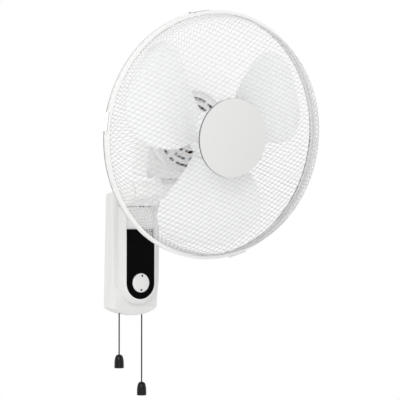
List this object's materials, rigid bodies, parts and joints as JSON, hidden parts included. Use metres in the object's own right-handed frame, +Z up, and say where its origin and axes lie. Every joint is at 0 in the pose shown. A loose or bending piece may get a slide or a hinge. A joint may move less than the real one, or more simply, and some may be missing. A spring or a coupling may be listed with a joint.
{
  "type": "wall fan",
  "caption": "Wall mounted swinging fan with wire guards, tilting head, black control panel with a speed dial, and pull cords for speed and swing",
  "frame": {"origin": "middle of the mounting plate's back face, on the wall", "axes": "+Z up, +Y into the wall; the fan blows towards -Y, X across the fan"},
  "size_m": [0.444, 0.3592, 0.6946],
  "materials": {
    "white_plastic": "moulded white plastic, soft gloss",
    "arm_plastic": "moulded white plastic, soft gloss",
    "impeller_plastic": "moulded white plastic, smooth gloss",
    "disc_plastic": "moulded white plastic, satin",
    "clip_plastic": "moulded white plastic",
    "panel_black": "gloss black plastic",
    "dial_white": "white domed plastic with two dark dots",
    "bell_black": "gloss black plastic",
    "cord_grey": "braided dark grey cord",
    "guard_wire": "powder coated steel wire, light grey",
    "wall_steel": "zinc plated steel sheet",
    "fastener_steel": "zinc plated steel",
    "shaft_steel": "ground steel",
    "core_steel": "stacked electrical steel sheets",
    "winding_copper": "enamelled copper wire",
    "inner_plastic": "dark grey technical plastic"
  },
  "bodies": {
    "base": {"wall_plate": "wall_steel", "base_back_shell": "white_plastic", "base_front_shell": "white_plastic", "control_panel": "panel_black", "shell_screws": "fastener_steel", "plate_screws": "fastener_steel", "speed_switch": "inner_plastic", "swing_switch": "inner_plastic", "cord_bushes": "white_plastic", "cable_inlet": "inner_plastic", "terminal_block": "inner_plastic", "motor_capacitor": "inner_plastic", "neck_bracket": "white_plastic", "tilt_bolt": "fastener_steel", "tilt_nut": "fastener_steel"},
    "tilt_arm": {"tilt_knuckle": "arm_plastic", "pan_post": "shaft_steel", "pan_retaining_ring": "fastener_steel"},
    "head": {"motor_housing_rear": "white_plastic", "motor_housing_front": "white_plastic", "pan_bush": "inner_plastic", "stator": "core_steel", "stator_windings": "winding_copper", "front_bearing": "shaft_steel", "rear_bearing": "shaft_steel", "front_end_shield": "wall_steel", "rear_end_shield": "wall_steel", "motor_bolts": "fastener_steel", "swing_motor": "inner_plastic", "rear_guard_wires": "guard_wire", "rear_guard_rings": "guard_wire", "rear_guard_plate": "guard_wire", "guard_lock_nut": "white_plastic", "rim_hoop": "white_plastic", "front_guard_wires": "guard_wire", "front_guard_rings": "guard_wire", "centre_disc": "disc_plastic", "clip_hinges": "clip_plastic", "housing_screws": "fastener_steel"},
    "impeller_set": {"impeller": "impeller_plastic", "motor_shaft": "shaft_steel", "rotor": "core_steel", "spinner_nut": "impeller_plastic", "shaft_collar": "shaft_steel"},
    "dial": {"speed_dial": "dial_white", "dial_spindle": "inner_plastic"},
    "speed_pull": {"speed_pull_stem": "inner_plastic", "speed_cord": "cord_grey", "speed_bell": "bell_black"},
    "swing_pull": {"swing_pull_stem": "inner_plastic", "swing_cord": "cord_grey", "swing_bell": "bell_black"},
    "clip_left": {"clip_left": "clip_plastic"},
    "clip_top": {"clip_top": "clip_plastic"},
    "clip_right": {"clip_right": "clip_plastic"},
    "clip_bottom": {"clip_bottom": "clip_plastic"}
  },
  "joints": [
    {"name": "head_tilt", "type": "hinge", "parent": "base", "child": "tilt_arm", "pos_m": [0, -0.031, 0.11], "axis": [1, 0, 0], "range_deg": [-15, 20]},
    {"name": "head_pan", "type": "hinge", "parent": "tilt_arm", "child": "head", "pos_m": [0, -0.13489, 0.1348], "axis": [0, -0.1305, 0.9914], "range_deg": [-40, 40]},
    {"name": "impeller_spin", "type": "hinge", "parent": "head", "child": "impeller_set", "pos_m": [0, -0.2904, 0.2051], "axis": [0, -0.9914, -0.1305], "continuous": true},
    {"name": "dial_turn", "type": "hinge", "parent": "base", "child": "dial", "pos_m": [0, -0.0395, -0.0585], "axis": [0, -1, 0], "continuous": true},
    {"name": "speed_cord_pull", "type": "slide", "parent": "base", "child": "speed_pull", "axis": [0, 0, -1], "range_m": [0, 0.012], "stiffness_N_per_m": 400},
    {"name": "swing_cord_pull", "type": "slide", "parent": "base", "child": "swing_pull", "axis": [0, 0, -1], "range_m": [0, 0.012], "stiffness_N_per_m": 400},
    {"name": "clip_left_open", "type": "hinge", "parent": "head", "child": "clip_left", "pos_m": [-0.21946, -0.29677, 0.21974], "axis": [0.0698, -0.1302, 0.989], "range_deg": [0, 100]},
    {"name": "clip_top_open", "type": "hinge", "parent": "head", "child": "clip_top", "pos_m": [-0.04949, -0.32274, 0.41705], "axis": [0.9744, -0.0294, 0.223], "range_deg": [0, 100]},
    {"name": "clip_right_open", "type": "hinge", "parent": "head", "child": "clip_right", "pos_m": [0.21946, -0.29276, 0.18931], "axis": [-0.0698, 0.1302, -0.989], "range_deg": [0, 100]},
    {"name": "clip_bottom_open", "type": "hinge", "parent": "head", "child": "clip_bottom", "pos_m": [0.06432, -0.2673, -0.00406], "axis": [-0.9563, 0.0382, -0.2899], "range_deg": [0, 100]}
  ]
}
